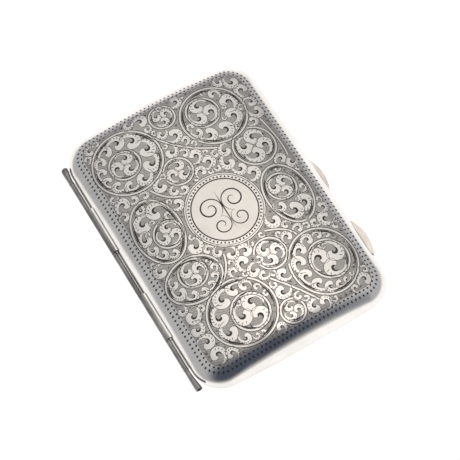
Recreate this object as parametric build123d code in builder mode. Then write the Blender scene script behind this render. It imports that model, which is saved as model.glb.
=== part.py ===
from build123d import *
from math import atan2, cos, hypot, pi, radians, sin, sqrt
import os

# Silver card case: a pillow-shaped lid and base joined by a five-knuckle hinge
# along one long side, with two thumb pieces on the other.
# +X points to the thumb pieces, +Y to the far short end, +Z out of the lid.
# The origin is the middle of the small flat under the base.  Millimetres.

# ---- driving dimensions ----
WIDTH = 65.5            # across the middle, hinge side to opening side
LENGTH = 92.6           # along the middle
CORNER_R = 9.0          # plan radius of the four corners
SIDE_BULGE = 0.3        # how far the long sides swell outwards
END_BULGE = 0.8         # how far the short ends swell outwards
APEX = 9.86             # seam to the crown of the lid's curve
ACROSS_R = 130.0        # radius of the crown across the case
ALONG_R = 423.0         # radius of the crown along the case
SHOULDER = 7.0          # width of the rounded shoulder
WALL = 0.6              # sheet thickness of both shells
LID_HEIGHT = 9.8        # seam to the top of the lid
SEAM_Z = 9.5            # height of the seam over the flat under the base
SEAM_GAP = 0.05         # half the gap between the two shells' edges

HALF_W = WIDTH / 2
HALF_L = LENGTH / 2

# Rims: a ring soldered inside each edge.  The base's ring carries a collar
# that stands up inside the lid's ring.
RIM_OUTER = 0.5         # the rings' outer face, from the outline
LID_RIM_INNER = 0.95
LID_RIM_H = 1.0
BASE_RIM_H = 1.2
COLLAR_OUTER = 1.05
COLLAR_INNER = 1.5
COLLAR_H = 0.9

# Hinge
HINGE_X = -33.7
BARREL_R = 0.75
PIN_R = 0.35
BORE_R = 0.39
PITCH = 16.1            # from one knuckle's joint line to the next
KNUCKLE_GAP = 0.12
BARREL_END = 34.5       # where the flared ends take over
HINGE_TIP_NEAR = 42.0   # tip of the flared end at the near short end
HINGE_TIP_FAR = 40.6
FLARE_R = 1.1
PIN_IN_END = 1.5        # how far the pin runs into each flared end
LEAF_DEEP = 1.5         # height of each knuckle's leaf on the wall
LEAF_BACK_X = -32.35    # the leaf is let this far into the wall
LEAF_CLEAR = 0.05       # from the seam plane

# Thumb pieces
THUMB_LONG = 13.2
THUMB_OUT = 1.65
THUMB_THICK = 1.1
THUMB_ROOT_X = 32.35
THUMB_ROOT = 0.4        # half the root's length, as a share of the nib's
THUMB_EASE = 0.22       # chamfer round the nib
BASE_THUMB_Y = -0.8
LID_THUMB_Y = -25.6

# Snap catch on the opening side
CATCH_LONG = 24.0
CATCH_THICK = 0.3
CATCH_NOSE = 0.45
CATCH_DEEP = 2.0
CATCH_NOSE_H = 0.35

# Sprung card retainer in the base
PIVOT_X = -20.0
PIVOT_DROP = 1.9        # below the seam
ARM_Y = 42.2            # inside face of each arm
ARM_W = 1.0
BAR_X = 0.0
BAR_W = 3.4
BAR_THICK = 0.8
EYE_R = 1.1
RET_PIN_R = 0.4
RET_BORE_R = 0.44
LUG_W = 4.0
LUG_THICK = 0.5
LUG_Y = 43.9            # inside face of each lug
LUG_TOE = 1.0           # how far the lug's top reaches into the rim
LUG_TOE_H = 1.0
LUG_LOW = 2.6
LUG_CLEAR = 0.1         # the lug's top stays this far under the base's edge
PIN_HEAD_R = 0.72
PIN_HEAD = 0.3
COIL_R = 0.6
COIL_WIRE_R = 0.09
COIL_PITCH = 0.2
COIL_GAP = 0.06

os.makedirs("parts", exist_ok=True)


# ---- the pillow surface ----
def inside(x, y):
    """Distance from a point in plan to the outline, inwards."""
    sx = abs(x) + SIDE_BULGE * (y / HALF_L) ** 2
    sy = abs(y) + END_BULGE * (x / HALF_W) ** 2
    qx = sx - (HALF_W - CORNER_R)
    qy = sy - (HALF_L - CORNER_R)
    return CORNER_R - hypot(max(qx, 0), max(qy, 0)) - min(max(qx, qy), 0)


def rise(x, y, inset):
    """Height of the surface over the seam, for a surface set in by inset."""
    crown = APEX - inset - x * x / (2 * ACROSS_R) - y * y / (2 * ALONG_R)
    d = max(inside(x, y) - inset, 0)
    r = SHOULDER - inset
    if d >= r:
        return crown
    return crown * sqrt(1 - (1 - d / r) ** 2)


def outline_rays():
    """Directions from the middle: one quarter's points, closer at the corner, then mirrored."""
    straight = HALF_L - CORNER_R
    flat = HALF_W - CORNER_R
    side = [(HALF_W, k * straight) for k in (0, 0.35, 0.7)]
    turns = [radians(a) for a in (0, 22.5, 45, 67.5, 90)]
    corner = [(flat + CORNER_R * cos(a), straight + CORNER_R * sin(a)) for a in turns]
    end = [(k * flat, HALF_L) for k in (0.65, 0.3, 0)]
    quarter = [atan2(y, x) for x, y in side + corner + end]
    half = quarter[:-1] + [pi - a for a in reversed(quarter[1:])]
    return half + [a + pi for a in half]


def along_ray(angle, is_in):
    """Walk out from the middle to where is_in turns false."""
    low, high = 0.0, HALF_L + HALF_W
    for _ in range(40):
        mid = (low + high) / 2
        if is_in(mid * cos(angle), mid * sin(angle)):
            low = mid
        else:
            high = mid
    return (low * cos(angle), low * sin(angle))


def contour(level, inset):
    """The closed curve on the surface at one height over the seam."""
    if level <= 0:
        return [along_ray(a, lambda x, y: inside(x, y) > inset) for a in outline_rays()]
    return [along_ray(a, lambda x, y: rise(x, y, inset) > level) for a in outline_rays()]


def pillow(top, inset, way, start):
    """Half a pillow as a loft, from the seam side at start, up (way 1) or down (way -1)."""
    levels = [top * k for k in (0, 0.12, 0.27, 0.44, 0.6, 0.75, 0.88, 1)]
    with BuildPart() as half:
        for level in levels:
            with BuildSketch(Plane.XY.offset(start + way * level)):
                with BuildLine():
                    Spline(*contour(level, inset), periodic=True)
                make_face()
        loft(ruled=True)
    return half.part


def sheet_shell(top, way, start):
    """A pillow half of sheet metal, open at the seam: outer skin, inner skin and the edge between."""
    outer = pillow(top, 0, way, start).faces()
    inner = pillow(top - WALL, WALL, way, start).faces()
    skins = [face for face in outer + inner if abs(face.center().Z - start) > WALL / 10]
    edge = [faces.sort_by(Axis.Z)[0 if way > 0 else -1].outer_wire() for faces in (outer, inner)]
    return Solid(Shell(skins + [Face(edge[0], [edge[1]])]))


base_wall = sheet_shell(SEAM_Z - SEAM_GAP, -1, SEAM_Z - SEAM_GAP)
lid_wall = sheet_shell(LID_HEIGHT - SEAM_GAP, 1, SEAM_Z + SEAM_GAP)

# ---- base shell ----
with BuildPart() as base_shell:
    add(base_wall)
base_shell.part.label = "base_shell"
export_step(base_shell.part, "parts/base_shell.step")

# ---- lid shell ----
with BuildPart() as lid_shell:
    add(lid_wall)
lid_shell.part.label = "lid_shell"
export_step(lid_shell.part, "parts/lid_shell.step")


# ---- rims ----
def follow(inset):
    """A closed curve that follows the outline at an inset."""
    return Spline(*contour(0, inset), periodic=True, mode=Mode.PRIVATE)


with BuildPart() as base_rim:
    with BuildSketch(Plane.XY.offset(SEAM_Z - SEAM_GAP - BASE_RIM_H)):
        make_face(follow(RIM_OUTER))
        make_face(follow(COLLAR_INNER), mode=Mode.SUBTRACT)
    extrude(amount=BASE_RIM_H)
    with BuildSketch(Plane.XY.offset(SEAM_Z - SEAM_GAP)):
        make_face(follow(COLLAR_OUTER))
        make_face(follow(COLLAR_INNER), mode=Mode.SUBTRACT)
    extrude(amount=COLLAR_H + SEAM_GAP)
base_rim.part.label = "base_rim"
export_step(base_rim.part, "parts/base_rim.step")

with BuildPart() as lid_rim:
    with BuildSketch(Plane.XY.offset(SEAM_Z + SEAM_GAP)):
        make_face(follow(RIM_OUTER))
        make_face(follow(LID_RIM_INNER), mode=Mode.SUBTRACT)
    extrude(amount=LID_RIM_H)
lid_rim.part.label = "lid_rim"
export_step(lid_rim.part, "parts/lid_rim.step")


# ---- hinge ----
def knuckle_spans():
    """Start and end of each knuckle along Y, near to far."""
    lines = [-BARREL_END, -1.5 * PITCH, -0.5 * PITCH, 0.5 * PITCH, 1.5 * PITCH, BARREL_END]
    gap = KNUCKLE_GAP / 2
    return [(lines[i] + (gap if i else 0), lines[i + 1] - (gap if i < 4 else 0)) for i in range(5)]


def knuckle(name, span, way, bore):
    """A length of tube with a leaf up (way 1) or down (way -1) the wall, let a little into it."""
    y0, y1 = span
    leaf_wide = LEAF_BACK_X - HINGE_X
    leaf_tall = LEAF_DEEP - LEAF_CLEAR
    leaf_mid = (HINGE_X + leaf_wide / 2, SEAM_Z + way * (LEAF_CLEAR + leaf_tall / 2))
    section = Plane(origin=(0, y0, 0), x_dir=(1, 0, 0), z_dir=(0, 1, 0))
    with BuildPart() as tube:
        with BuildSketch(section):
            with Locations((HINGE_X, -SEAM_Z)):
                Circle(BARREL_R)
            with Locations((leaf_mid[0], -leaf_mid[1])):
                Rectangle(leaf_wide, leaf_tall)
            with Locations((HINGE_X, -SEAM_Z)):
                Circle(bore, mode=Mode.SUBTRACT)
        extrude(amount=y1 - y0)
    tube.part.label = name
    export_step(tube.part, "parts/" + name + ".step")


SPANS = knuckle_spans()
knuckle("base_knuckle_near", SPANS[0], -1, PIN_R)
knuckle("lid_knuckle_near", SPANS[1], 1, BORE_R)
knuckle("base_knuckle_middle", SPANS[2], -1, PIN_R)
knuckle("lid_knuckle_far", SPANS[3], 1, BORE_R)
knuckle("base_knuckle_far", SPANS[4], -1, PIN_R)

with BuildPart() as hinge_pin:
    with BuildSketch(Plane(origin=(0, -BARREL_END - PIN_IN_END, 0), x_dir=(1, 0, 0), z_dir=(0, 1, 0))):
        with Locations((HINGE_X, -SEAM_Z)):
            Circle(PIN_R)
    extrude(amount=2 * (BARREL_END + PIN_IN_END))
hinge_pin.part.label = "hinge_pin"
export_step(hinge_pin.part, "parts/hinge_pin.step")


def hinge_end(name, side, tip):
    """The barrel's flared end: it swells towards a rounded tip and holds the pin's end."""
    start = side * BARREL_END
    round_at = side * (tip - FLARE_R)
    halfway = (side * (tip - FLARE_R + FLARE_R * cos(pi / 4)), HINGE_X - FLARE_R * sin(pi / 4))
    with BuildPart() as flare:
        with BuildSketch(Plane.YX.offset(-SEAM_Z)):
            with BuildLine():
                Polyline((start, HINGE_X), (start, HINGE_X - BARREL_R), (round_at, HINGE_X - FLARE_R))
                ThreePointArc((round_at, HINGE_X - FLARE_R), halfway, (side * tip, HINGE_X))
                Line((side * tip, HINGE_X), (start, HINGE_X))
            make_face()
        revolve(axis=Axis((HINGE_X, 0, SEAM_Z), (0, 1, 0)))
        with BuildSketch(Plane(origin=(0, start, 0), x_dir=(1, 0, 0), z_dir=(0, side, 0))):
            with Locations((HINGE_X, -side * SEAM_Z)):
                Circle(PIN_R)
        extrude(amount=PIN_IN_END, mode=Mode.SUBTRACT)
    flare.part.label = name
    export_step(flare.part, "parts/" + name + ".step")


hinge_end("hinge_end_near", -1, HINGE_TIP_NEAR)
hinge_end("hinge_end_far", 1, HINGE_TIP_FAR)


# ---- thumb pieces ----
def thumb_piece(name, y, low_z):
    """A crescent nib with its root let into the wall."""
    root = THUMB_LONG * THUMB_ROOT
    tip_x = HALF_W + THUMB_OUT
    with BuildPart() as nib:
        with BuildSketch(Plane.XY.offset(low_z)):
            with BuildLine():
                ThreePointArc((HALF_W, y - THUMB_LONG / 2), (tip_x, y), (HALF_W, y + THUMB_LONG / 2))
                Polyline((HALF_W, y + THUMB_LONG / 2), (THUMB_ROOT_X, y + root), (THUMB_ROOT_X, y - root),
                         (HALF_W, y - THUMB_LONG / 2))
            make_face()
        extrude(amount=THUMB_THICK)
        rim = nib.edges().filter_by(GeomType.CIRCLE)
        chamfer(rim, THUMB_EASE)
    nib.part.label = name
    export_step(nib.part, "parts/" + name + ".step")


thumb_piece("base_thumbpiece", BASE_THUMB_Y, SEAM_Z - SEAM_GAP - THUMB_THICK)
thumb_piece("lid_thumbpiece", LID_THUMB_Y, SEAM_Z + SEAM_GAP)

# ---- catch spring: a strip on the collar's inner face with a nose over the lid's rim ----
catch_x = HALF_W - COLLAR_INNER
nose_low = SEAM_Z + SEAM_GAP + LID_RIM_H + SEAM_GAP
with BuildPart() as catch_spring:
    with BuildSketch(Plane(origin=(0, CATCH_LONG / 2, 0), x_dir=(1, 0, 0), z_dir=(0, -1, 0))):
        with BuildLine():
            Polyline((catch_x - CATCH_THICK, SEAM_Z - CATCH_DEEP), (catch_x, SEAM_Z - CATCH_DEEP),
                     (catch_x, nose_low), (catch_x + CATCH_NOSE, nose_low + CATCH_NOSE_H / 2),
                     (catch_x, nose_low + CATCH_NOSE_H), (catch_x - CATCH_THICK, nose_low + CATCH_NOSE_H),
                     close=True)
        make_face()
    extrude(amount=CATCH_LONG)
catch_spring.part.label = "catch_spring"
export_step(catch_spring.part, "parts/catch_spring.step")

# ---- card retainer: a flat bar across the cards on two arms ----
pivot_z = SEAM_Z - PIVOT_DROP
arm_mid = ARM_Y + ARM_W / 2
arm_long = BAR_X - PIVOT_X
with BuildPart() as retainer:
    with BuildSketch(Plane.XY.offset(pivot_z - BAR_THICK / 2)):
        with Locations((BAR_X, 0)):
            Rectangle(BAR_W, 2 * (ARM_Y + ARM_W))
        with Locations(((BAR_X + PIVOT_X) / 2, arm_mid), ((BAR_X + PIVOT_X) / 2, -arm_mid)):
            Rectangle(arm_long, ARM_W)
    extrude(amount=BAR_THICK)
    for side in (-1, 1):
        with BuildSketch(Plane(origin=(0, side * ARM_Y, 0), x_dir=(1, 0, 0), z_dir=(0, side, 0))):
            with Locations((PIVOT_X, -side * pivot_z)):
                Circle(EYE_R)
        extrude(amount=ARM_W)
        with BuildSketch(Plane(origin=(0, side * ARM_Y, 0), x_dir=(1, 0, 0), z_dir=(0, side, 0))):
            with Locations((PIVOT_X, -side * pivot_z)):
                Circle(RET_BORE_R)
        extrude(amount=ARM_W, mode=Mode.SUBTRACT)
retainer.part.label = "retainer"
export_step(retainer.part, "parts/retainer.step")


def lug(name, side):
    """A bracket on the base's rim with a hole for the retainer's pin."""
    top = SEAM_Z - SEAM_GAP - LUG_CLEAR
    with BuildPart() as plate:
        with BuildSketch(Plane(origin=(0, side * LUG_Y, 0), x_dir=(1, 0, 0), z_dir=(0, side, 0))):
            with Locations((PIVOT_X, -side * (top + SEAM_Z - LUG_LOW) / 2)):
                Rectangle(LUG_W, top - SEAM_Z + LUG_LOW)
            with Locations((PIVOT_X, -side * pivot_z)):
                Circle(RET_PIN_R, mode=Mode.SUBTRACT)
        extrude(amount=LUG_THICK)
        with BuildSketch(Plane(origin=(0, side * (LUG_Y + LUG_THICK), 0), x_dir=(1, 0, 0), z_dir=(0, side, 0))):
            with Locations((PIVOT_X, -side * (top - LUG_TOE_H / 2))):
                Rectangle(LUG_W, LUG_TOE_H)
        extrude(amount=LUG_TOE - LUG_THICK)
    plate.part.label = name
    export_step(plate.part, "parts/" + name + ".step")


def retainer_pin(name, side):
    """A headed pin from the lug through the arm's eye."""
    reach = LUG_Y + LUG_THICK - ARM_Y + PIN_HEAD
    with BuildPart() as pin:
        with BuildSketch(Plane(origin=(0, side * (LUG_Y + LUG_THICK), 0), x_dir=(1, 0, 0), z_dir=(0, -side, 0))):
            with Locations((PIVOT_X, side * pivot_z)):
                Circle(RET_PIN_R)
        extrude(amount=reach)
        with BuildSketch(Plane(origin=(0, side * (ARM_Y - COIL_GAP), 0), x_dir=(1, 0, 0), z_dir=(0, -side, 0))):
            with Locations((PIVOT_X, side * pivot_z)):
                Circle(PIN_HEAD_R)
        extrude(amount=PIN_HEAD)
    pin.part.label = name
    export_step(pin.part, "parts/" + name + ".step")


def coil(name, side):
    """A small torsion spring round the pin, between the eye and the lug."""
    start = ARM_Y + ARM_W + COIL_GAP + COIL_WIRE_R
    room = LUG_Y - COIL_GAP - COIL_WIRE_R - start
    with BuildPart() as spring:
        with BuildLine():
            path = Helix(COIL_PITCH, room, COIL_R, center=(PIVOT_X, side * start, pivot_z), direction=(0, side, 0))
        with BuildSketch(Plane(origin=path @ 0, z_dir=path % 0)):
            Circle(COIL_WIRE_R)
        sweep()
    spring.part.label = name
    export_step(spring.part, "parts/" + name + ".step")


for where, side in (("near", -1), ("far", 1)):
    lug("retainer_lug_" + where, side)
    retainer_pin("retainer_pin_" + where, side)
    coil("retainer_spring_" + where, side)
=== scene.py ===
from math import atan2, ceil, cos, degrees, pi, radians, sin

import bpy
import numpy as np
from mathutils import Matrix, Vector
from mathutils.geometry import delaunay_2d_cdt


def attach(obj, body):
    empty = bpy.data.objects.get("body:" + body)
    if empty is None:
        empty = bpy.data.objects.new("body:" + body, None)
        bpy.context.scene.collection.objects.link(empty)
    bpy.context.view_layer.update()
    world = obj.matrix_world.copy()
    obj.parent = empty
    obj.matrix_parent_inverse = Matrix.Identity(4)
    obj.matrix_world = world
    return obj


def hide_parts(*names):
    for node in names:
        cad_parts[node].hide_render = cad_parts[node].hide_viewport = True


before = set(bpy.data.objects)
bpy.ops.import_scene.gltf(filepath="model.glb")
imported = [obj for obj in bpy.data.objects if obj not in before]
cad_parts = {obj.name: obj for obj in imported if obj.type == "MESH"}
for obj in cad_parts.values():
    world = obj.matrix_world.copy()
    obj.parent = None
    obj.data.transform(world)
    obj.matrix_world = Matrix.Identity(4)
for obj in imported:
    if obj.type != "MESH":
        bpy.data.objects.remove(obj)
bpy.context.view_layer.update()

# ---- the case's own sizes, in millimetres, as in the CAD source ----
MM = 0.001
HALF_W = 32.75
HALF_L = 46.3
CORNER_R = 9.0
SIDE_BULGE = 0.3
END_BULGE = 0.8
APEX = 9.86
ACROSS_R = 130.0
ALONG_R = 423.0
SHOULDER = 7.0
WALL = 0.6
SEAM_Z = 9.5
SEAM_GAP = 0.05          # half the gap between the two shells' edges
LID_CAP = 10.0           # over the crown, so the lid isn't cut flat
BASE_CAP = SEAM_Z - SEAM_GAP   # the base is cut flat where it lies on the table
HINGE_X = -33.7
BARREL_R = 0.75
BARREL_END = 34.5        # where the flared ends take over from the knuckles
HINGE_TIP_NEAR = 42.0
HINGE_TIP_FAR = 40.6
# the hinge barrel short of this is painted dark as painted shade; the leaves past it keep the silver's own
# colour
LEAF_BRIGHT_FROM = 0.68  # from the hinge line, towards the wall

# ---- how finely the shells are made ----
RING_POINTS = 320        # points in each ring of a wall
WALL_RINGS = 15
LINING_RINGS = 11
LINING_SCALES = (0.85, 0.7, 0.55, 0.4, 0.25, 0.1)   # the lining's rings under the crown
OUTLINE_POINTS = 1440    # points along a contour before it is cut at an even pitch
HALVINGS = 40            # steps of the search for a contour
RING_STEP = 0.5          # between the rings of points on the rounded shoulder
RING_PITCH = 1.2
GRID_PITCH = 1.7         # of the points under the crown, which are set a little off a grid
GRID_WOBBLE = 0.23
MERGE = 1e-4             # points of the pattern nearer than this become one

# ---- the pricked rows ----
ENGRAVED_EDGE = 2.6      # the worked part of a shell starts this far in from the outline
OUTER_ROW = 3.1          # depth of each row, from the outline
INNER_ROW = 4.35
PRICK_PITCH = 1.4
PRICK_SIZES = ((OUTER_ROW, 0.36, 0.46), (INNER_ROW, 0.42, 0.36))   # half-length, half-width

# ---- cuts ----
CUT_DEPTH = 0.06         # how far the middle of a cut is sunk
THINNEST_CUT = 0.03      # least half-width

# what a face of a shell is, lowest first: the higher one wins where outlines overlap
POLISH, GROUND, BAND, DISC, LEAF, CUT, LINING = range(7)


# ---- the pillow surface ----
def inside(x, y):
    """Distance in plan to the outline, inwards."""
    sx = np.abs(x) + SIDE_BULGE * (y / HALF_L) ** 2
    sy = np.abs(y) + END_BULGE * (x / HALF_W) ** 2
    qx = sx - (HALF_W - CORNER_R)
    qy = sy - (HALF_L - CORNER_R)
    corner = np.hypot(np.maximum(qx, 0), np.maximum(qy, 0))
    return CORNER_R - corner - np.minimum(np.maximum(qx, qy), 0)


def rise(x, y, inset=0.0):
    """Height of the surface over the seam."""
    crown = APEX - inset - x * x / (2 * ACROSS_R) - y * y / (2 * ALONG_R)
    r = SHOULDER - inset
    across = np.clip((inside(x, y) - inset) / r, 0, 1)
    return crown * np.sqrt(np.maximum(1 - (1 - across) ** 2, 0))


def slope_normals(x, y, inset, way):
    """Unit normals of the surface, from small steps in plan kept inside the outline."""
    step = 0.02
    reach = np.clip(inside(x, y) - inset, 0, None)
    steep = reach < 2 * step
    pull = np.where(steep, 1 - 3 * step / np.maximum(np.hypot(x, y), 1), 1)
    px, py = x * pull, y * pull
    gx = (rise(px + step, py, inset) - rise(px - step, py, inset)) / (2 * step)
    gy = (rise(px, py + step, inset) - rise(px, py - step, inset)) / (2 * step)
    flat = np.stack([-gx, -gy, np.ones_like(gx)], 1)
    edge_x = (inside(px + step, py) - inside(px - step, py)) / (2 * step)
    edge_y = (inside(px, py + step) - inside(px, py - step)) / (2 * step)
    wall = np.stack([-edge_x, -edge_y, np.full_like(gx, 0.02)], 1)
    n = np.where(steep[:, None], wall, flat)
    n /= np.linalg.norm(n, axis=1)[:, None]
    n[:, 2] *= way
    return n


def outline_angles(count):
    """Directions from the middle, evenly spread along a rounded rectangle."""
    flat, straight = HALF_W - CORNER_R, HALF_L - CORNER_R
    quarter = pi / 2 * CORNER_R
    total = 4 * (flat + straight + quarter)
    found = []
    for i in range(count):
        s = total * i / count
        turn, s = divmod(s, total / 2)
        if s < straight:
            p = (HALF_W, s)
        elif s < straight + quarter:
            a = (s - straight) / CORNER_R
            p = (flat + CORNER_R * cos(a), straight + CORNER_R * sin(a))
        elif s < straight + quarter + 2 * flat:
            p = (flat - (s - straight - quarter), HALF_L)
        elif s < straight + 2 * quarter + 2 * flat:
            a = pi / 2 + (s - straight - quarter - 2 * flat) / CORNER_R
            p = (-flat + CORNER_R * cos(a), straight + CORNER_R * sin(a))
        else:
            p = (-HALF_W, straight - (s - straight - 2 * quarter - 2 * flat))
        found.append(atan2(p[1], p[0]) + pi * turn)
    return np.array(found)


def contour(depth, angles):
    """The points, one on each ray, that lie depth in from the outline."""
    low, high = np.zeros_like(angles), np.full_like(angles, HALF_W + HALF_L)
    for _ in range(HALVINGS):
        mid = (low + high) / 2
        within = inside(mid * np.cos(angles), mid * np.sin(angles)) > depth
        low, high = np.where(within, mid, low), np.where(within, high, mid)
    return np.stack([low * np.cos(angles), low * np.sin(angles)], 1)


def even_contour(depth, pitch):
    """Points along a contour at an even pitch, and the direction of travel at each."""
    fine = contour(depth, outline_angles(OUTLINE_POINTS))
    loop = np.vstack([fine, fine[:1]])
    along = np.concatenate([[0], np.cumsum(np.hypot(*np.diff(loop, axis=0).T))])
    count = round(along[-1] / pitch)
    at = np.arange(count) * along[-1] / count
    points = np.stack([np.interp(at, along, loop[:, i]) for i in (0, 1)], 1)
    ahead = np.roll(points, -1, axis=0) - np.roll(points, 1, axis=0)
    return points, np.arctan2(ahead[:, 1], ahead[:, 0])


# ---- outlines that are cut into a shell, in plan ----
class Plan:
    """Points and outlines in plan, each outline with its kind; deep points are sunk later."""

    def __init__(self):
        self.points, self.faces, self.kinds, self.deep = [], [], [], set()
        self.taken = []      # discs that are already worked: x, y, radius

    def add(self, points, deep=False):
        """New points, and their numbers."""
        first = len(self.points)
        self.points.extend((float(x), float(y)) for x, y in points)
        if deep:
            self.deep.update(range(first, len(self.points)))
        return list(range(first, len(self.points)))

    def face(self, ids, kind):
        """One outline, turned anticlockwise."""
        x, y = np.array([self.points[i] for i in ids]).T
        area = np.sum(x * np.roll(y, -1) - y * np.roll(x, -1))
        self.faces.append(ids if area > 0 else ids[::-1])
        self.kinds.append(kind)

    def polygon(self, points, kind):
        self.face(self.add(points), kind)

    def strip(self, line, left, right, kind):
        """A band along a line, with its own reach on each side."""
        line, across = np.asarray(line), sideways(line)
        a = line + across * np.asarray(left)[:, None]
        b = line - across * np.asarray(right)[:, None]
        self.polygon(np.vstack([a, b[::-1]]), kind)

    def stroke(self, line, half):
        """A V-shaped cut along a line."""
        line, across = np.asarray(line), sideways(line)
        half = np.broadcast_to(np.maximum(half, THINNEST_CUT), len(line))[:, None]
        left = self.add(line + across * half)
        middle = self.add(line, deep=True)
        right = self.add(line - across * half)
        self.face(left + middle[::-1], CUT)
        self.face(middle + right[::-1], CUT)

    def prick(self, x, y, turn, long, wide):
        """A four-sided pricked mark with a deep middle."""
        c, s = cos(turn), sin(turn)
        corners = [(long, 0), (0, wide), (-long, 0), (0, -wide)]
        self.polygon([(x + a * c - b * s, y + a * s + b * c) for a, b in corners], CUT)
        self.add([(x, y)], deep=True)


def sideways(line):
    """Unit vectors to the left of a line."""
    ahead = np.gradient(np.asarray(line, float), axis=0)
    ahead /= np.maximum(np.linalg.norm(ahead, axis=1), 1e-9)[:, None]
    return np.stack([-ahead[:, 1], ahead[:, 0]], 1)


def taper(count, half, power=1.0):
    """Half-widths that swell from nothing to half and back."""
    return half * np.sin(np.linspace(0, pi, count)) ** power


def arc(cx, cy, rx, ry, a0, a1, step=5.0):
    """Points on an ellipse between two angles in degrees."""
    count = max(4, int(ceil(abs(a1 - a0) / step)) + 1)
    a = np.radians(np.linspace(a0, a1, count))
    return np.stack([cx + rx * np.cos(a), cy + ry * np.sin(a)], 1)


def place(local, x, y, turn, size, hand):
    """Local points turned, sized, mirrored if hand is -1, and moved."""
    local = np.asarray(local, float) * (size, size * hand)
    c, s = cos(turn), sin(turn)
    return local @ np.array([[c, s], [-s, c]]) + (x, y)


VINE_HALF = 0.4
VINE_MARGIN = 0.15       # kept free beside a stem
VINE_CHUNK = 8           # steps in each piece of a stem's band, so that it can meet itself
LINE_HALF = 0.11

# a leaf of size 1, round the middle of its curl
LEAF_REACH = 1.78        # the room it takes
HEAD_R = 0.84            # the bulb that it ends in
RIM_OUT = 0.05           # the cut round it lies this far outside
HOOK_STEPS = 10
FINE_LEAF = 0.8          # leaves larger than this get more steps


def vine(plan, line):
    """A stem: a bright band between two fine cuts."""
    plan.taken += [(x, y, VINE_HALF + VINE_MARGIN) for x, y in line]
    for first in range(0, len(line) - 1, VINE_CHUNK):
        part = line[first:first + VINE_CHUNK + 1]
        reach = np.full(len(part), VINE_HALF)
        plan.strip(part, reach, reach, BAND)
    across = sideways(line)
    for side in (-1, 1):
        plan.stroke(line + across * side * VINE_HALF, LINE_HALF)


def leaf_spine(t):
    """Angle and radius of a leaf's middle line, from its tail (0) to its bulb (1)."""
    return np.radians(192 - 277 * t), 1.32 - 0.38 * t + 3.4 * np.maximum(0.42 - t, 0) ** 1.35


def leaf(plan, x, y, turn, size, hand, ticks):
    """A curled leaf: a tail that swells round into a bulb, a hooked cut in its curl, ticks on its back."""
    plan.taken.append((x, y, LEAF_REACH * size))

    def placed(local):
        return place(local, x, y, turn, size, hand)

    t = np.linspace(0, 1, 17 if size > FINE_LEAF else 13)
    angle, radius = leaf_spine(t)
    half = 0.08 + 0.74 * np.sin(np.minimum(t * 1.3, 1) * pi / 2)
    scallop = 1 + 0.2 * np.abs(np.sin(3.5 * pi * t)) * (1 - t)
    line = np.stack([radius * np.cos(angle), radius * np.sin(angle)], 1)
    outward = line / radius[:, None]
    outer = line + outward * (half * scallop)[:, None]
    inner = line - outward * half[:, None]
    plan.polygon(placed(np.vstack([outer, inner[::-1]])), LEAF)
    end_x, end_y = line[-1]
    plan.polygon(placed(arc(end_x, end_y, HEAD_R, HEAD_R, 0, 330, 30)), LEAF)
    plan.stroke(placed(outer + outward * RIM_OUT), 0.075)
    plan.stroke(placed(arc(end_x, end_y, HEAD_R + RIM_OUT, HEAD_R + RIM_OUT, -85, -250, 30)), 0.06)
    hook = np.radians(np.linspace(118, -135, HOOK_STEPS))
    reach = np.linspace(0.74, 0.24, HOOK_STEPS)
    curl = np.stack([reach * np.cos(hook) - 0.08, reach * np.sin(hook)], 1)
    plan.stroke(placed(curl), np.maximum(taper(HOOK_STEPS, 0.23, 0.6) * size, 0.05))
    for i in range(ticks):
        a, r = leaf_spine(0.22 + 0.46 * i / (ticks - 1))
        r += 0.2
        tick = [((r + d) * cos(a + d * 0.35), (r + d) * sin(a + d * 0.35)) for d in (-0.1, 0.34)]
        plan.stroke(placed(tick), np.array([0.13, 0.06]))


def spray(plan, x, y, turn, size):
    """Three tapered cuts from one point."""
    for i in (-1, 0, 1):
        a = turn + radians(28) * i
        long = size * (1.5 - 0.16 * abs(i))
        bend = 0.18 * i * size
        points = [(x + cos(a) * long * k - sin(a) * bend * k * k,
                   y + sin(a) * long * k + cos(a) * bend * k * k) for k in (0.18, 0.45, 0.72, 1.0)]
        plan.stroke(points, np.array([0.13, 0.11, 0.08, 0.04]) * size)


# ---- the engraved pattern: places read off the photo, in millimetres from the middle of the case ----
# scrolls: outer ring as middle and half-sizes, inner ring as middle and radius, start in degrees, hand
SCROLLS = [
    ((-17.0, 29.0, 11.2, 11.0), (-18.2, 28.8, 5.0), 60, -1),
    ((13.4, 29.6, 10.8, 10.4), (10.9, 32.2, 5.4), 215, 1),
    ((-20.4, 4.4, 7.6, 11.3), (-18.1, 2.0, 4.6), 75, 1),
    ((-18.9, -14.4, 9.2, 7.3), (-18.2, -12.6, 4.6), 10, 1),
    ((-11.9, -30.2, 10.9, 10.6), (-9.6, -31.4, 6.0), 60, 1),
    ((17.0, -28.4, 10.7, 11.0), (18.8, -28.6, 6.4), 150, -1),
    ((19.3, -4.4, 7.4, 10.6), (18.6, -1.6, 4.7), 280, 1),
]
# small scrolls: middle, radius, start in degrees, hand
CURLS = [
    (-0.6, 36.9, 4.4, 100, 1),
    (-5.6, 18.0, 4.9, 150, -1),
    (18.8, 14.3, 7.0, 120, 1),
    (4.4, -18.9, 5.3, 200, 1),
    (1.0, -37.4, 4.1, 60, 1),
]
# loose stems: start, bend, end
STEMS = [
    ((-7.4, 34.2), (-2.6, 24.0), (8.6, 19.0)),
    ((-15.8, 16.9), (-13.4, 11.9), (-8.8, 10.3)),
    ((-7.6, -12.2), (-8.6, -17.0), (-12.2, -19.4)),
    ((0.2, -25.6), (5.4, -31.6), (9.4, -37.9)),
    ((6.6, -12.0), (13.0, -13.8), (14.4, -17.4)),
    ((25.4, 21.8), (27.3, 12.0), (26.2, 7.0)),
]
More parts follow.
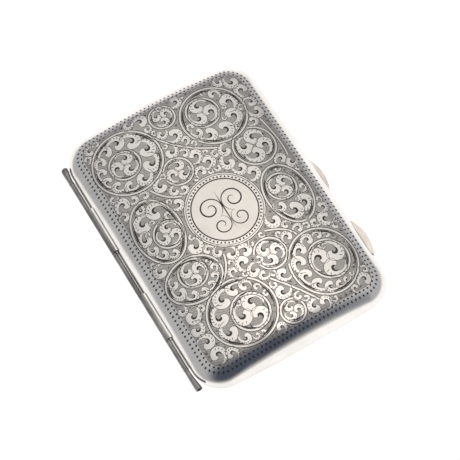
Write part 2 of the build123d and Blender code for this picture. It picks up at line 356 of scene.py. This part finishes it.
# C-scrolls of the flourish: middle, start and sweep in degrees, reach, eye, half-width
FLOURISH = [
    ((3.9, 2.1), 250, -560, 3.5, 0.5, 0.24),
    ((3.1, -4.2), 110, 500, 2.7, 0.4, 0.2),
]
SCROLL_SWEEP = 352        # degrees of an outer ring
CURL_SWEEP = 318
LARGEST_LEAF = 1.55
CARTOUCHE = 12.2          # radius of the round panel
DISC_R = 9.98             # radius of its smooth middle
CARTOUCHE_RINGS = ((12.2, 0.1), (11.6, 0.1), (10.12, 0.2))   # radius, half-width
CARTOUCHE_MARKS = 60      # triangles round it, which point out and in by turns
GROUND_MARGIN = 0.45      # from the inner pricked row to the hatched ground
PANEL_MARGIN = 0.15
FILL_STEP = 0.45          # of the grid on which room for loose leaves is looked for
SMALL_LEAF = 0.88         # gaps under this get a spray instead of a leaf
SMALL_GAP = 0.5           # and gaps under this nothing


def shade(plan, cx, cy, rx, ry, middle, span, half):
    """A dark crescent just inside a ring."""
    line = arc(cx, cy, rx, ry, middle - span / 2, middle + span / 2, 6)
    plan.stroke(line, taper(len(line), half, 0.8))


def room_on_ray(outer, inner, b):
    """The free stretch between the two rings of a scroll, as radii from the inner ring's middle."""
    cx, cy, rx, ry = outer
    ix, iy, r = inner
    low = high = r + 0.62
    while ((ix + high * cos(b) - cx) / (rx - 1.2)) ** 2 + ((iy + high * sin(b) - cy) / (ry - 1.2)) ** 2 < 1:
        high += 0.05
    return low, high


def engrave_scroll(plan, outer, inner, start, hand):
    """Two rings, their shading, and leaves between them that are as large as there is room for."""
    cx, cy, rx, ry = outer
    ix, iy, r = inner
    vine(plan, arc(cx, cy, rx - VINE_HALF, ry - VINE_HALF, start, start + hand * SCROLL_SWEEP))
    a = np.radians(start + hand * np.arange(20, 400, 8.0))
    coil = r * np.linspace(1, 0.9, len(a))
    vine(plan, np.stack([ix + coil * np.cos(a), iy + coil * np.sin(a)], 1))
    for i in range(5):
        shade(plan, cx, cy, rx - 1.28, ry - 1.28, start + hand * (24 + 70 * i), 50, 0.27)
    for i in range(3):
        shade(plan, ix, iy, r * 0.84, r * 0.84, start + hand * (60 + 110 * i), 62, 0.17)
    on = 14.0
    while on < 350:
        b = radians(start + hand * on)
        low, high = room_on_ray(outer, inner, b)
        wide, mid = high - low, (low + high) / 2
        size = min(wide / 3.25, LARGEST_LEAF)
        if wide > 1.5:
            leaf(plan, ix + mid * cos(b), iy + mid * sin(b), b + hand * radians(80), size, -hand,
                 6 if size > 0.7 else 4)
        if wide > 6.2:
            leaf(plan, ix + (low + 1.0) * cos(b + 0.42 * hand), iy + (low + 1.0) * sin(b + 0.42 * hand),
                 b - hand * radians(60), 0.5, hand, 3)
        on += degrees(max(3.55 * size, 2.4) / mid)
    eye_leaves(plan, ix, iy, r - 0.5, start, hand)


def eye_leaves(plan, x, y, r, start, hand):
    """Three curled leaves inside a ring, or four in a large one."""
    count, share = (3, 3.45) if r < 6 else (4, 4.1)
    for i in range(count):
        b = radians(start + 360 * i / count)
        leaf(plan, x + r * 0.52 * cos(b), y + r * 0.52 * sin(b), b + hand * radians(95), r / share, -hand, 5)


def engrave_curl(plan, x, y, r, start, hand):
    """A small scroll: one ring, two crescents and its leaves."""
    vine(plan, arc(x, y, r - VINE_HALF, r - VINE_HALF, start, start + hand * CURL_SWEEP, 7))
    for middle in (60, 200):
        shade(plan, x, y, r - 1.3, r - 1.3, start + hand * middle, 80, 0.2)
    eye_leaves(plan, x, y, r - 1.0, start + 40, hand)


def engrave_cartouche(plan):
    """The round panel: a smooth disc in a border of triangles between fine rings."""
    plan.polygon(arc(0, 0, CARTOUCHE + 0.1, CARTOUCHE + 0.1, 0, 356, 4), BAND)
    plan.polygon(arc(0, 0, DISC_R, DISC_R, 0, 356, 4), DISC)
    for radius, half in CARTOUCHE_RINGS:
        ring = arc(0, 0, radius, radius, 0, 360, 4)
        for first in range(0, len(ring) - 1, 15):
            plan.stroke(ring[first:first + 16], half)
    wide = 0.4
    for i in range(CARTOUCHE_MARKS):
        a = 2 * pi * i / CARTOUCHE_MARKS
        tip, foot = (10.42, 11.15) if i % 2 else (11.3, 10.55)
        plan.polygon([(tip * cos(a), tip * sin(a)),
                      (foot * cos(a) - wide * sin(a), foot * sin(a) + wide * cos(a)),
                      (foot * cos(a) + wide * sin(a), foot * sin(a) - wide * cos(a))], CUT)


def engrave_flourish(plan):
    """A mirrored ornament of C-scrolls on a stem, in the middle of the disc."""
    steps = 46
    t = np.linspace(0, 1, steps)
    for hand in (-1, 1):
        for (x, y), start, sweep, reach, eye, half in FLOURISH:
            a = np.radians(start + sweep * t)
            r = reach * (1 - t) ** 0.8 + eye
            line = np.stack([x + r * np.cos(a), y + r * np.sin(a)], 1)
            plan.stroke(line * (hand, 1), taper(steps, half, 0.6))
    stem = [(0, 6.4 - 13.2 * k) for k in np.linspace(0, 1, 12)]
    plan.stroke(stem, taper(len(stem), 0.2))


def bent_line(start, bend, end, count=18):
    """Points on a quadratic curve."""
    t = np.linspace(0, 1, count)[:, None]
    a, b, c = (np.array(p, float) for p in (start, bend, end))
    return a * (1 - t) ** 2 + 2 * b * t * (1 - t) + c * t * t


def engraving():
    """The whole pattern of the lid."""
    plan = Plan()
    edge, _ = even_contour(INNER_ROW + GROUND_MARGIN, 1.0)
    plan.polygon(edge, GROUND)
    for scroll in SCROLLS:
        engrave_scroll(plan, *scroll)
    for curl in CURLS:
        engrave_curl(plan, *curl)
    for stem in STEMS:
        vine(plan, bent_line(*stem))
    engrave_cartouche(plan)
    engrave_flourish(plan)
    fill_gaps(plan)
    return plan


def fill_gaps(plan):
    """Loose leaves wherever there is room, largest first, and sprays in what is left."""
    x, y = np.meshgrid(np.arange(-28.3, 28.4, FILL_STEP), np.arange(-42.3, 42.4, FILL_STEP))
    x, y = x.ravel(), y.ravel()
    free = np.minimum(inside(x, y) - INNER_ROW - GROUND_MARGIN, np.hypot(x, y) - CARTOUCHE - PANEL_MARGIN)
    for cx, cy, reach in plan.taken:
        free = np.minimum(free, np.hypot(x - cx, y - cy) - reach)
    made = 0
    while free.max() > SMALL_GAP:
        best = int(free.argmax())
        gap, cx, cy = float(free[best]), float(x[best]), float(y[best])
        turn = 2.4 * made + 0.13 * cx
        if gap > SMALL_LEAF:
            size = min(gap / 1.62, 1.3)
            leaf(plan, cx, cy, turn, size, 1 if made % 2 else -1, 5 if size > 0.75 else 3)
            reach = min(gap, 2.2)
        else:
            spray(plan, cx - 0.75 * gap * cos(turn), cy - 0.75 * gap * sin(turn), turn, gap)
            reach = gap
        free = np.minimum(free, np.hypot(x - cx, y - cy) - reach)
        made += 1


def pricked_rows(plan):
    """The two border rows of pricked marks."""
    for depth, long, wide in PRICK_SIZES:
        points, headings = even_contour(depth, PRICK_PITCH)
        for (x, y), turn in zip(points, headings):
            plan.prick(x, y, turn, long, wide)


# ---- pieces ----
def new_piece(name, points, polys, normals, materials, kinds):
    """A smooth-shaded object from points in metres, with a material index for each face."""
    mesh = bpy.data.meshes.new(name)
    mesh.from_pydata(points, [], polys)
    for material in materials:
        mesh.materials.append(material)
    mesh.polygons.foreach_set("material_index", kinds)
    mesh.polygons.foreach_set("use_smooth", [True] * len(polys))
    mesh.validate()
    if normals is not None:
        mesh.normals_split_custom_set_from_vertices(normals)
    mesh.update()
    piece = bpy.data.objects.new(name, mesh)
    bpy.context.scene.collection.objects.link(piece)
    return piece


def worked_skin(plan, way):
    """The pattern, its border and filling points in one triangulation: plan points, which of them
    are deep, the kept faces with their kinds, and the border's place in the points."""
    pricked_rows(plan)
    first_border = len(plan.points)
    plan.add(contour(ENGRAVED_EDGE, outline_angles(RING_POINTS)))
    edges = [(first_border + i, first_border + (i + 1) % RING_POINTS) for i in range(RING_POINTS)]
    for depth in np.arange(ENGRAVED_EDGE + RING_STEP, SHOULDER + 0.6, RING_STEP):
        plan.add(even_contour(depth, RING_PITCH)[0])
    grid = np.array([(x, y) for x in np.arange(-25, 25.1, GRID_PITCH)
                     for y in np.arange(-39, 39.1, GRID_PITCH)])
    grid = grid + GRID_WOBBLE * np.sin(grid[:, ::-1] * 7.1)
    plan.add(grid[inside(grid[:, 0], grid[:, 1]) > SHOULDER + 0.8])
    made = delaunay_2d_cdt([Vector(p) for p in plan.points], edges, plan.faces, 0, MERGE, True)
    verts, _, faces, from_verts, _, from_faces = made
    flat = np.array([tuple(v) for v in verts])
    deep = np.array([any(i in plan.deep for i in ids) for ids in from_verts])
    place_of = {i: index for index, ids in enumerate(from_verts) for i in ids}
    border = [place_of[first_border + i] for i in range(RING_POINTS)]
    polys, kinds = [], []
    middles = flat[np.array([f[:3] for f in faces])].mean(1)
    kept = inside(middles[:, 0], middles[:, 1]) > ENGRAVED_EDGE - 0.02
    for face, ids, keep in zip(faces, from_faces, kept):
        if keep:
            polys.append(list(face) if way > 0 else list(face)[::-1])
            kinds.append(max((plan.kinds[i] for i in ids), default=POLISH))
    return flat, deep, polys, kinds, border


def shell(name, way, plan, cap, node, body):
    """A sheet shell: the worked outer skin, the rounded wall, the edge at the seam and the lining."""
    flat, deep, polys, kinds, last = worked_skin(plan, way)
    sink = np.where(deep, CUT_DEPTH, 0.0)
    points = [np.column_stack([flat, np.minimum(rise(flat[:, 0], flat[:, 1]), cap) - sink])]
    normals = [slope_normals(flat[:, 0], flat[:, 1], 0, way)]
    angles = outline_angles(RING_POINTS)
    level = np.zeros(RING_POINTS)

    def ring(xy, z, normal):
        """New points, and their numbers."""
        first = sum(len(p) for p in points)
        points.append(np.column_stack([xy, z]))
        normals.append(normal)
        return list(range(first, first + len(xy)))

    def lining_ring(xy, z):
        return ring(xy, z, -slope_normals(xy[:, 0], xy[:, 1], WALL, way))

    def lining_height(xy):
        return np.minimum(rise(xy[:, 0], xy[:, 1], WALL), cap - WALL)

    def join(a, b, kind):
        """A belt of quads between two rings."""
        for i in range(RING_POINTS):
            j = (i + 1) % RING_POINTS
            quad = [a[i], b[i], b[j], a[j]]
            polys.append(quad if way > 0 else quad[::-1])
            kinds.append(kind)

    for phi in np.linspace(np.arccos(1 - ENGRAVED_EDGE / SHOULDER), 0, WALL_RINGS)[1:]:
        xy = contour(max(SHOULDER * (1 - cos(phi)), 0), angles)
        z = rise(xy[:, 0], xy[:, 1]) if phi > 0 else level
        new = ring(xy, z, slope_normals(xy[:, 0], xy[:, 1], 0, way))
        join(last, new, POLISH)
        last = new
    # the edge, with its own copies of the rings so that it stays crisp
    down = np.tile([0.0, 0.0, -way], (RING_POINTS, 1))
    join(ring(contour(0, angles), level, down), ring(contour(WALL, angles), level, down), LINING)
    last = lining_ring(contour(WALL, angles), level)
    for phi in np.linspace(0, pi / 2, LINING_RINGS)[1:]:
        xy = contour(WALL + (SHOULDER - WALL) * (1 - cos(phi)), angles)
        new = lining_ring(xy, lining_height(xy))
        join(last, new, LINING)
        last = new
    for scale in LINING_SCALES:
        near = xy * scale
        new = lining_ring(near, lining_height(near))
        join(last, new, LINING)
        last = new
    polys.append(last if way < 0 else last[::-1])
    kinds.append(LINING)

    co = np.vstack(points)
    co[:, 2] = SEAM_Z + way * (SEAM_GAP + co[:, 2])
    piece = new_piece(name, (co * MM).tolist(), polys, np.vstack(normals).tolist(), SHELL_LOOKS, kinds)
    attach(piece, body)
    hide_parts(node)


# ---- materials ----
MIX_A, MIX_B, MIX_RESULT = 6, 7, 2   # a Mix node's colour sockets
BUMP_HEIGHT = 0.00004
LEAF_COLOUR = (0.92, 0.90, 0.88, 1)  # the knuckles' leaves, next to the wall


class Nodes:
    """A small helper that makes and links shader nodes."""

    def __init__(self, name):
        self.material = bpy.data.materials.new(name)
        self.material.use_nodes = True
        self.tree = self.material.node_tree
        self.tree.nodes.clear()
        self.shader = self.make("ShaderNodeBsdfPrincipled")
        output = self.make("ShaderNodeOutputMaterial")
        self.link(self.shader.outputs[0], output.inputs[0])
        self.where = self.make("ShaderNodeTexCoord").outputs["Object"]

    def make(self, kind, **settings):
        """A new node."""
        node = self.tree.nodes.new(kind)
        for key, value in settings.items():
            setattr(node, key, value)
        return node

    def link(self, a, b):
        self.tree.links.new(a, b)

    def stretched(self, scale, turn):
        """The object's own coordinates, scaled and turned about z."""
        mapping = self.make("ShaderNodeMapping")
        mapping.inputs["Scale"].default_value = scale
        mapping.inputs["Rotation"].default_value = (0, 0, radians(turn))
        self.link(self.where, mapping.inputs["Vector"])
        return mapping.outputs[0]

    def noise(self, scale, detail, rough, vector=None):
        node = self.make("ShaderNodeTexNoise")
        node.inputs["Scale"].default_value = scale
        node.inputs["Detail"].default_value = detail
        node.inputs["Roughness"].default_value = rough
        self.link(vector or self.where, node.inputs["Vector"])
        return node.outputs["Fac"]

    def wave(self, scale, distortion, turn):
        """Wavy lines that run across the object in one direction."""
        node = self.make("ShaderNodeTexWave", wave_profile="TRI")
        node.inputs["Scale"].default_value = scale
        node.inputs["Distortion"].default_value = distortion
        node.inputs["Detail"].default_value = 1.0
        self.link(self.stretched((1, 1, 1), turn), node.inputs["Vector"])
        return node.outputs["Fac"]

    def spread(self, value, low, high, low_in=0.3, high_in=0.7):
        """A value taken from one range to another."""
        node = self.make("ShaderNodeMapRange")
        node.inputs["From Min"].default_value = low_in
        node.inputs["From Max"].default_value = high_in
        node.inputs["To Min"].default_value = low
        node.inputs["To Max"].default_value = high
        self.link(value, node.inputs["Value"])
        return node.outputs["Result"]

    def ramp(self, value, *stops):
        """A blend between two (position, colour) stops."""
        node = self.make("ShaderNodeValToRGB")
        for element, (position, colour) in zip(node.color_ramp.elements, stops):
            element.position = position
            element.color = (*colour, 1)
        self.link(value, node.inputs[0])
        return node.outputs["Color"]

    def maths(self, a, b, kind):
        node = self.make("ShaderNodeMath", operation=kind)
        self.link(a, node.inputs[0])
        self.link(b, node.inputs[1])
        return node.outputs[0]

    def mixed(self, kind, factor, a, b):
        """Two colours mixed; the factor and the second colour can be sockets or plain values."""
        node = self.make("ShaderNodeMix", data_type="RGBA", blend_type=kind)
        self.link(a, node.inputs[MIX_A])
        for value, socket in ((factor, node.inputs["Factor"]), (b, node.inputs[MIX_B])):
            if isinstance(value, bpy.types.NodeSocket):
                self.link(value, socket)
            else:
                socket.default_value = value
        return node.outputs[MIX_RESULT]

    def bump(self, value, strength, distance):
        node = self.make("ShaderNodeBump")
        node.inputs["Strength"].default_value = strength
        node.inputs["Distance"].default_value = distance
        self.link(value, node.inputs["Height"])
        return node.outputs[0]


def metal(name, dark, light, rough, bump=0.12, tarnish=55.0, metallic=1.0, hatch=None, leaf_from=None):
    """Worn metal: blotchy tarnish in its colour, smudges in its gloss, and hairline scratches or,
    with hatch as (scale, dark, light), crossed lines. Past leaf_from, in x, it is bright, the silver's own
    colour.
    For the hinge, its ends and the mouth of an end, dark and light are set low as painted shade."""
    n = Nodes(name)
    n.shader.inputs["Metallic"].default_value = metallic
    colour = n.ramp(n.noise(tarnish, 5.0, 0.6), (0.28, dark), (0.62, light))
    gloss = n.spread(n.noise(tarnish * 3.1, 4.0, 0.65), *rough)
    if hatch:
        height = n.maths(n.wave(hatch[0], 2.2, 37.0), n.wave(hatch[0] * 0.8, 3.4, -48.0), "MULTIPLY")
        colour = n.mixed("MULTIPLY", 1.0, colour, n.ramp(height, (0.08, hatch[1]), (0.42, hatch[2])))
    else:
        height = n.maths(n.noise(1.0, 3.0, 0.7, n.stretched((140, 5200, 900), 24)),
                         n.noise(1.0, 3.0, 0.7, n.stretched((4700, 120, 900), -31)), "ADD")
    # short of leaf_from the colour stays dark, the hinge barrel's painted shade; past it, the silver's own
    # bright colour
    if leaf_from:
        split = n.make("ShaderNodeSeparateXYZ")
        n.link(n.where, split.inputs[0])
        side = n.spread(split.outputs["X"], 0.0, 1.0, leaf_from, leaf_from + 0.00015)
        colour = n.mixed("MIX", side, colour, LEAF_COLOUR)
    n.link(colour, n.shader.inputs["Base Color"])
    n.link(gloss, n.shader.inputs["Roughness"])
    n.link(n.bump(height, bump, BUMP_HEIGHT), n.shader.inputs["Normal"])
    return n.material


polish = metal("polished_silver", (0.80, 0.78, 0.76), (0.94, 0.92, 0.90), (0.12, 0.24), 0.10)
ground = metal("hatched_ground", (0.74, 0.72, 0.70), (0.90, 0.88, 0.86), (0.30, 0.42), 0.35,
               hatch=(900.0, (0.30, 0.29, 0.28), (0.92, 0.91, 0.90)))
band = metal("stem_silver", (0.80, 0.77, 0.74), (0.92, 0.89, 0.86), (0.18, 0.28), 0.12)
disc = metal("satin_disc", (0.84, 0.80, 0.76), (0.93, 0.90, 0.86), (0.30, 0.38), 0.10)
leafy = metal("leaf_silver", (0.86, 0.83, 0.80), (0.97, 0.94, 0.91), (0.17, 0.26), 0.12)
cut = metal("dark_cut", (0.03, 0.029, 0.028), (0.10, 0.095, 0.09), (0.4, 0.55), 0.1, 260.0, 0.7)
gilt = metal("silver_gilt", (0.80, 0.62, 0.34), (0.93, 0.77, 0.48), (0.18, 0.30), 0.12)
steel = metal("spring_steel", (0.36, 0.36, 0.37), (0.56, 0.56, 0.57), (0.26, 0.42), 0.15, 120.0)
# the knuckles: the barrel is painted dark as painted shade, for the shadowed gap between barrel and case
hinge_painted_shade_metal = metal("hinge_silver_painted_shade", (0.16, 0.16, 0.165), (0.40, 0.39, 0.38), (0.22, 0.40), 0.15, 120.0,
                    leaf_from=(HINGE_X + LEAF_BRIGHT_FROM) * MM)
# the turned ends of the hinge: silver painted dark as painted shade
hinge_end_painted_shade_metal = metal("hinge_end_silver_painted_shade", (0.14, 0.14, 0.145), (0.42, 0.41, 0.40), (0.20, 0.36), 0.15, 160.0)
# inside an end's mouth: painted near black as painted shade in the hollow
hollow = metal("hinge_end_hollow_painted_shade", (0.02, 0.02, 0.02), (0.07, 0.07, 0.07), (0.45, 0.6), 0.1, 260.0, 0.6)
thumb = metal("thumb_silver", (0.60, 0.555, 0.53), (0.78, 0.73, 0.69), (0.18, 0.30), 0.10, 160.0)
SHELL_LOOKS = [polish, ground, band, disc, leafy, cut, gilt]   # in the order of the kinds of face

shell("lid_skin", 1, engraving(), LID_CAP, "lid_shell", "lid")
shell("base_skin", -1, Plan(), BASE_CAP, "base_shell", "base")


def dress(material, *nodes):
    """A CAD node's own mesh gets a material."""
    for node in nodes:
        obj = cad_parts[node]
        if not obj.material_slots:
            obj.data.materials.append(material)
        for slot in obj.material_slots:
            slot.material = material


dress(gilt, "base_rim", "lid_rim", "retainer", "retainer_lug_near", "retainer_lug_far")
dress(steel, "hinge_pin", "catch_spring", "retainer_pin_near", "retainer_pin_far",
      "retainer_spring_near", "retainer_spring_far")
dress(hinge_painted_shade_metal, "base_knuckle_near", "base_knuckle_middle", "base_knuckle_far",
      "lid_knuckle_near", "lid_knuckle_far")
dress(thumb, "base_thumbpiece", "lid_thumbpiece")


END_SIDES = 32


def hinge_end(name, node, side, tip, lean, profile, hollow_from):
    """A turned finial on the barrel's end: rings along a slightly leaning axis."""
    points, polys, kinds = [], [], []
    for along, radius in profile:
        y = BARREL_END + (tip - BARREL_END) * along
        x = HINGE_X + lean * along * along
        for i in range(END_SIDES):
            a = 2 * pi * i / END_SIDES
            points.append(((x + radius * cos(a)) * MM, side * y * MM, (SEAM_Z + radius * sin(a)) * MM))
    for ring in range(len(profile) - 1):
        for i in range(END_SIDES):
            j = (i + 1) % END_SIDES
            a, b = ring * END_SIDES, (ring + 1) * END_SIDES
            quad = [a + i, a + j, b + j, b + i]
            polys.append(quad if side < 0 else quad[::-1])
            # rings from hollow_from on line the mouth and take its near-black painted shade
            kinds.append(1 if ring >= hollow_from else 0)
    first = list(range(END_SIDES))
    last = [(len(profile) - 1) * END_SIDES + i for i in range(END_SIDES)]
    polys += [first[::-1], last] if side < 0 else [first, last[::-1]]
    kinds += [0, 1 if hollow_from < len(profile) else 0]
    piece = new_piece(name, points, polys, None, (hinge_end_painted_shade_metal, hollow), kinds)
    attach(piece, "base")
    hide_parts(node)


# profiles as (share of the length, radius); the trumpet's last points go back into its mouth
TRUMPET = [(0.0, BARREL_R), (0.02, 0.86), (0.06, 0.86), (0.08, 0.76), (0.35, 0.80), (0.6, 0.90),
           (0.85, 1.04), (0.97, 1.10), (1.0, 1.06), (1.0, 0.88), (0.93, 0.82), (0.7, 0.6), (0.62, 0.3)]
# the mouth's rings get the near-black painted shade
TRUMPET_MOUTH = 9        # from this point on it is hollow
TEARDROP = [(0.0, BARREL_R), (0.02, 0.86), (0.08, 0.86), (0.1, 0.76), (0.35, 0.82), (0.6, 0.98),
            (0.8, 1.10), (0.9, 1.06), (0.96, 0.86), (0.99, 0.5), (1.0, 0.2)]
hinge_end("hinge_end_near_trumpet", "hinge_end_near", -1, HINGE_TIP_NEAR, 0.35, TRUMPET, TRUMPET_MOUTH)
hinge_end("hinge_end_far_teardrop", "hinge_end_far", 1, HINGE_TIP_FAR, 0.4, TEARDROP, len(TEARDROP))

# ---- floor: a glowing floor with a painted pool of light, white near the case, greyer further out ----
FLOOR = 1.5
FLOOR_DROP = 0.0001
# the painted pool of light: the floor's glow is strongest near the case and falls off further out
NEAR, FAR = (0.11, 1.06), (0.30, 0.62)   # distance from the middle, strength
floor_mesh = bpy.data.meshes.new("floor")
floor_mesh.from_pydata([(-FLOOR, -FLOOR, 0), (FLOOR, -FLOOR, 0), (FLOOR, FLOOR, 0), (-FLOOR, FLOOR, 0)],
                       [], [(0, 1, 2, 3)])
floor = bpy.data.objects.new("floor", floor_mesh)
bpy.context.scene.collection.objects.link(floor)
floor.location.z = -FLOOR_DROP
white = bpy.data.materials.new("floor_glow_painted_light_pool")
white.use_nodes = True
white.node_tree.nodes.clear()
glow = white.node_tree.nodes.new("ShaderNodeEmission")
glow.inputs["Color"].default_value = (1.0, 0.985, 0.97, 1)
out = white.node_tree.nodes.new("ShaderNodeOutputMaterial")
spot = white.node_tree.nodes.new("ShaderNodeTexCoord")
away = white.node_tree.nodes.new("ShaderNodeVectorMath")
away.operation = "LENGTH"
# the glow falls from near to far: a painted pool of light round the case
fall = white.node_tree.nodes.new("ShaderNodeMapRange")
fall.inputs["From Min"].default_value, fall.inputs["To Min"].default_value = NEAR
fall.inputs["From Max"].default_value, fall.inputs["To Max"].default_value = FAR
white.node_tree.links.new(spot.outputs["Object"], away.inputs[0])
white.node_tree.links.new(away.outputs["Value"], fall.inputs["Value"])
white.node_tree.links.new(fall.outputs["Result"], glow.inputs["Strength"])
white.node_tree.links.new(glow.outputs[0], out.inputs[0])
floor_mesh.materials.append(white)

# ---- studio: a soft overhead light in a grey room that is darker on the near side ----
OVERHEAD = (0.21, 0.19, 0.955)
NEAR_SIDE = (-0.25, -0.80, 0.53)
HORIZON = (0.52, 0.51, 0.50, 1)
HORIZON_TOP = 0.3        # how high the light band at the horizon reaches, as the z of a direction
world = bpy.data.worlds.new("studio")
bpy.context.scene.world = world
world.use_nodes = True
tree = world.node_tree
tree.nodes.clear()


def wnode(kind, **settings):
    """A node of the world's tree."""
    node = tree.nodes.new(kind)
    for key, value in settings.items():
        setattr(node, key, value)
    return node


def lobe(direction, stops):
    """Colours by the angle to a direction, in degrees; the widest angle comes first."""
    dot = wnode("ShaderNodeVectorMath", operation="DOT_PRODUCT")
    tree.links.new(facing, dot.inputs[0])
    dot.inputs[1].default_value = Vector(direction).normalized()
    ramp = wnode("ShaderNodeValToRGB")
    ramp.color_ramp.interpolation = "EASE"
    elements = ramp.color_ramp.elements
    while len(elements) < len(stops):
        elements.new(0.5)
    for element, (angle, colour) in zip(elements, stops):
        element.position = max(cos(radians(angle)), 0)
        element.color = (*colour, 1)
    tree.links.new(dot.outputs["Value"], ramp.inputs[0])
    return ramp.outputs["Color"]


def combine(a, b, kind):
    """Two colours blended in full."""
    mix = wnode("ShaderNodeMix", data_type="RGBA", blend_type=kind)
    mix.inputs["Factor"].default_value = 1.0
    tree.links.new(a, mix.inputs[MIX_A])
    tree.links.new(b, mix.inputs[MIX_B])
    return mix.outputs[MIX_RESULT]


facing = wnode("ShaderNodeTexCoord").outputs["Generated"]
overhead = lobe(OVERHEAD, [(62, (0.45, 0.455, 0.465)), (24, (0.66, 0.655, 0.645)),
                           (13, (0.98, 0.94, 0.885)), (4, (1.38, 1.32, 1.24))])
near_dark = lobe(NEAR_SIDE, [(54, (1, 1, 1)), (24, (0.14, 0.16, 0.22))])
sky = combine(overhead, near_dark, "MULTIPLY")
height_ramp = wnode("ShaderNodeValToRGB")
height_ramp.color_ramp.elements[0].position = 0.0
height_ramp.color_ramp.elements[0].color = HORIZON
height_ramp.color_ramp.elements[1].position = HORIZON_TOP
height_ramp.color_ramp.elements[1].color = (0, 0, 0, 1)
split = wnode("ShaderNodeSeparateXYZ")
tree.links.new(facing, split.inputs[0])
tree.links.new(split.outputs["Z"], height_ramp.inputs[0])
sky = combine(sky, height_ramp.outputs["Color"], "LIGHTEN")
background = wnode("ShaderNodeBackground")
tree.links.new(sky, background.inputs["Color"])
world_out = wnode("ShaderNodeOutputWorld")
tree.links.new(background.outputs[0], world_out.inputs[0])

# ---- camera, as fitted to the photo ----
EYE = Vector((-112.4, -193.1, 505.0)) * MM
AIM = Vector((-2.17, -6.65, 19.36)) * MM
LENS = 140.9
camera_data = bpy.data.cameras.new("camera")
camera_data.lens = LENS
camera_data.sensor_width = 36.0
camera_data.clip_start = 0.05
camera_data.clip_end = 10.0
camera = bpy.data.objects.new("camera", camera_data)
bpy.context.scene.collection.objects.link(camera)
camera.location = EYE
camera.rotation_euler = (AIM - EYE).to_track_quat("-Z", "Y").to_euler()
scene = bpy.context.scene
scene.camera = camera
scene.view_settings.view_transform = "Standard"
scene.view_settings.look = "None"
